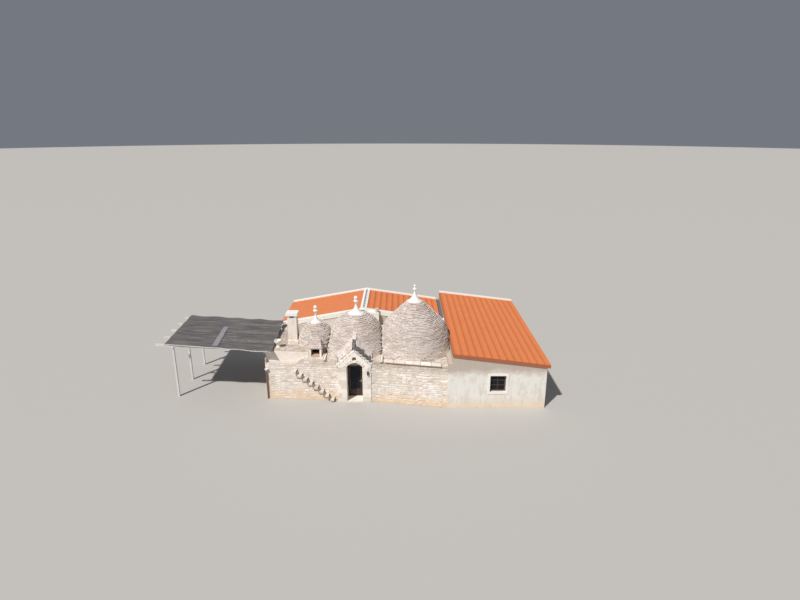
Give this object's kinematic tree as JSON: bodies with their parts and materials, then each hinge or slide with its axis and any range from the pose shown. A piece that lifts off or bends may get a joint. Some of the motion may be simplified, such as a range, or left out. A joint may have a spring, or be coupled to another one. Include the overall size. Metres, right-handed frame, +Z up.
{
  "type": "trullo house",
  "caption": "Trullo house: corbelled stone cones over arched rooms behind a battered front wall, with a gabled block, a lean-to block and a shaded pergola.",
  "frame": {"origin": "on the ground, at the underside of the floor, below the axis line of the middle cone", "axes": "+X to the right along the front, +Y to the back, +Z up"},
  "size_m": [22.42, 11.84, 6.45],
  "materials": {
    "wall_stone": "rough",
    "cone_stone": "rough",
    "dressed_stone": "rough",
    "limewash": "matte",
    "floor_stone": "matte",
    "terracotta": "matte",
    "ridge_ceramic": "matte",
    "grey_metal": "matte",
    "black_metal": "satin",
    "brown_metal": "satin",
    "white_metal": "satin",
    "dark_wood": "satin",
    "white_wood": "matte",
    "clear_glass": "gloss",
    "brass": "satin",
    "ochre_ceramic": "matte",
    "shade_cloth": "matte"
  },
  "bodies": {
    "house": {"annex_east_wall": "limewash", "annex_end_walls": "limewash", "annex_roof": "terracotta", "annex_west_wall": "limewash", "box_gutter": "grey_metal", "chimney_cap": "limewash", "chimney_stack": "limewash", "cross_walls": "wall_stone", "dividing_wall": "limewash", "door_frame": "dark_wood", "door_threshold": "dressed_stone", "dormer": "wall_stone", "downpipe": "brown_metal", "fanlight_glass": "clear_glass", "floor": "floor_stone", "flue_block": "limewash", "flue_pot": "terracotta", "front_coping": "dressed_stone", "front_wall_left": "wall_stone", "front_wall_right": "wall_stone", "lantern_glass": "clear_glass", "left_cone": "cone_stone", "left_pinnacle": "limewash", "left_roof": "cone_stone", "middle_cone": "cone_stone", "middle_pinnacle": "limewash", "niche_jar": "ochre_ceramic", "pergola_beams": "white_wood", "pergola_canopy": "shade_cloth", "pergola_posts": "white_wood", "pergola_rafters": "white_wood", "portal_gable": "dressed_stone", "portal_jambs": "dressed_stone", "portal_roof": "dressed_stone", "rain_hopper": "white_metal", "rain_spouts": "dressed_stone", "rear_north_wall": "limewash", "rear_roof_left": "terracotta", "rear_roof_right": "terracotta", "rear_west_wall": "limewash", "ridge_mortar": "limewash", "ridge_tiles": "ridge_ceramic", "right_cone": "cone_stone", "right_pinnacle": "limewash", "roof_copings": "limewash", "roof_deck": "cone_stone", "roof_vase": "dressed_stone", "wall_lantern": "black_metal", "wall_steps": "dressed_stone", "west_wall": "wall_stone", "window_panes": "clear_glass", "window_sashes": "dark_wood", "window_surrounds": "limewash"},
    "door": {"door_leaf": "dark_wood", "door_glass": "clear_glass", "door_handle": "brass"}
  },
  "joints": [
    {"name": "front_door", "type": "hinge", "parent": "house", "child": "door", "pos_m": [-0.3975, -1.49975, 0.35], "axis": [0, 0, 1], "range_deg": [0, 90]}
  ]
}
